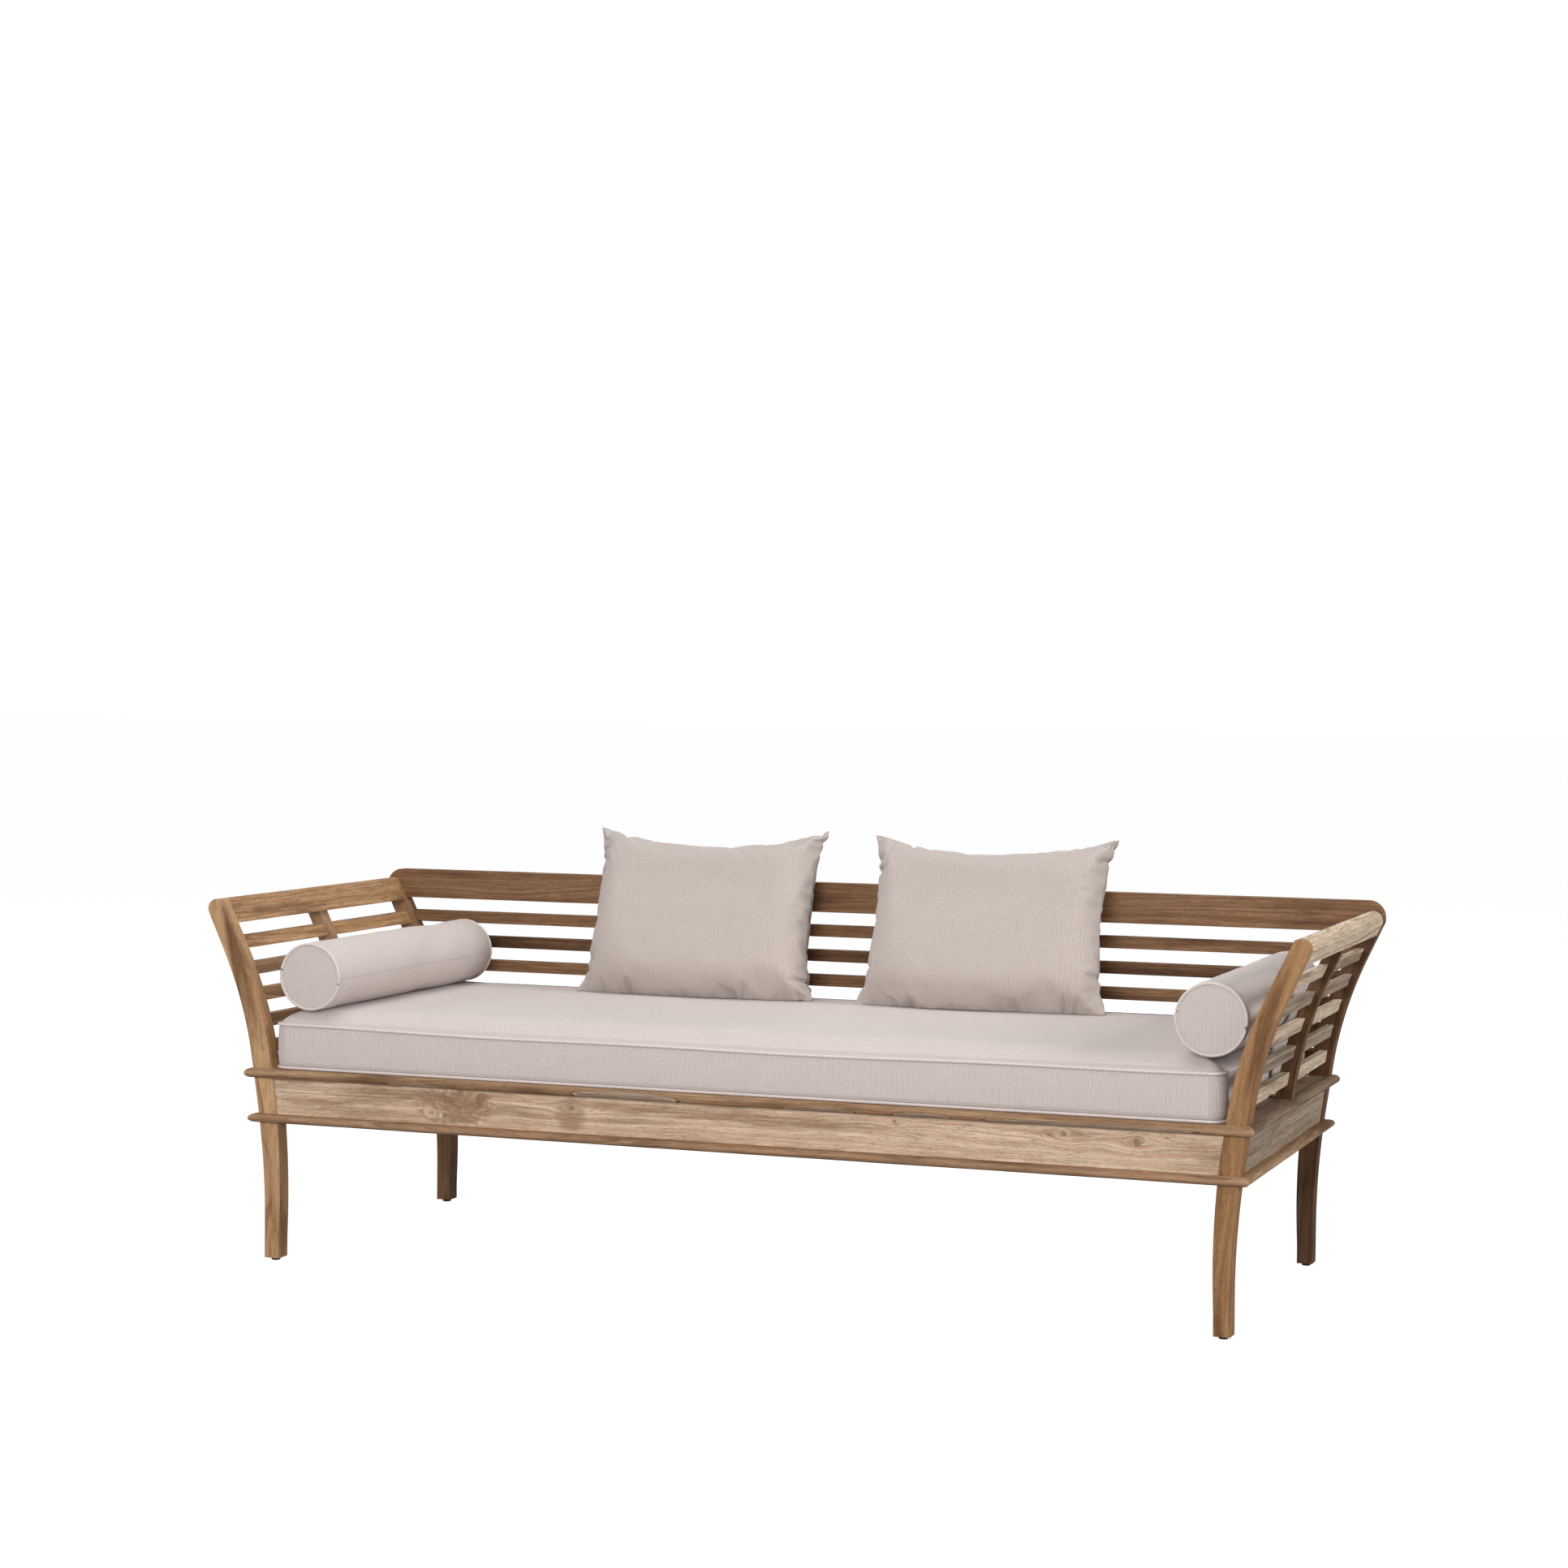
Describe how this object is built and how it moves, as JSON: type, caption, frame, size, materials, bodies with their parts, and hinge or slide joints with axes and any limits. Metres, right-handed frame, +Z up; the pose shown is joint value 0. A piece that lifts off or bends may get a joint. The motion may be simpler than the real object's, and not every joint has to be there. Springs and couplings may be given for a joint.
{
  "type": "daybed",
  "caption": "Teak daybed with sabre posts, slatted arms and back, double ledges, a piped boxed mattress, throw pillows and round bolsters that lift off.",
  "frame": {"origin": "on the floor under the middle of the daybed", "axes": "+X along the length to the right of someone looking at its front, +Y towards the back, +Z up"},
  "size_m": [2.2686, 0.836, 0.8679],
  "materials": {
    "teak_honey": "sanded, unsealed honey teak",
    "teak_bleached": "sanded, pale sun-bleached teak",
    "teak_brown": "sanded, darker reclaimed teak",
    "teak_grey": "sanded, pale grey-beige teak",
    "glide": "dark nail-on glides",
    "screw_steel": "zinc-plated countersunk screws",
    "fabric": "two-tone off-white basket weave with a small dark dot",
    "foam": "foam and fibre filling",
    "zip_tape": "woven nylon zip"
  },
  "bodies": {
    "frame": {"post_front_left": "teak_honey", "post_front_right": "teak_honey", "upper_ledge_front": "teak_honey", "upper_ledge_left": "teak_honey", "lower_ledge_front": "teak_honey", "lower_ledge_left": "teak_honey", "arm_rail_left": "teak_honey", "arm_stile_left": "teak_honey", "post_rear_left": "teak_brown", "post_rear_right": "teak_brown", "apron_rear": "teak_brown", "apron_left": "teak_brown", "apron_right": "teak_brown", "upper_ledge_rear": "teak_brown", "lower_ledge_rear": "teak_brown", "arm_stile_right": "teak_brown", "back_rail": "teak_brown", "back_stile_left": "teak_brown", "back_stile_right": "teak_brown", "deck_ledger_front": "teak_brown", "deck_ledger_rear": "teak_brown", "deck_beam": "teak_brown", "apron_front": "teak_bleached", "deck_slats": "teak_bleached", "upper_ledge_right": "teak_grey", "lower_ledge_right": "teak_grey", "arm_rail_right": "teak_grey", "arm_slat_left_1": "teak_honey", "arm_slat_right_1": "teak_grey", "back_slat_1": "teak_brown", "arm_slat_left_2": "teak_honey", "arm_slat_right_2": "teak_grey", "back_slat_2": "teak_brown", "arm_slat_left_3": "teak_honey", "arm_slat_right_3": "teak_grey", "back_slat_3": "teak_brown", "arm_slat_left_4": "teak_honey", "arm_slat_right_4": "teak_grey", "back_slat_4": "teak_brown", "arm_slat_left_5": "teak_honey", "arm_slat_right_5": "teak_grey", "back_slat_5": "teak_brown", "glides": "glide", "wood_screws": "screw_steel"},
    "mattress": {"mattress_cover": "fabric", "mattress_core": "foam", "mattress_piping": "fabric", "mattress_zip": "zip_tape"},
    "pillow_left": {"pillow_cover_left": "fabric", "pillow_insert_left": "foam"},
    "pillow_right": {"pillow_cover_right": "fabric", "pillow_insert_right": "foam"},
    "bolster_left": {"bolster_cover_left": "fabric", "bolster_core_left": "foam", "bolster_piping_left": "fabric"},
    "bolster_right": {"bolster_cover_right": "fabric", "bolster_core_right": "foam", "bolster_piping_right": "fabric"},
    "zip_pull": {"zip_slider": "screw_steel"}
  },
  "joints": [
    {"name": "mattress_lift", "type": "slide", "parent": "frame", "child": "mattress", "axis": [0, 0, 1], "range_m": [0, 0.4]},
    {"name": "pillow_left_lift", "type": "slide", "parent": "mattress", "child": "pillow_left", "axis": [0, 0, 1], "range_m": [0, 0.4]},
    {"name": "pillow_right_lift", "type": "slide", "parent": "mattress", "child": "pillow_right", "axis": [0, 0, 1], "range_m": [0, 0.4]},
    {"name": "bolster_left_lift", "type": "slide", "parent": "mattress", "child": "bolster_left", "axis": [0, 0, 1], "range_m": [0, 0.4]},
    {"name": "bolster_right_lift", "type": "slide", "parent": "mattress", "child": "bolster_right", "axis": [0, 0, 1], "range_m": [0, 0.4]},
    {"name": "zip_slide", "type": "slide", "parent": "mattress", "child": "zip_pull", "axis": [1, 0, 0], "range_m": [0, 1.47]}
  ]
}
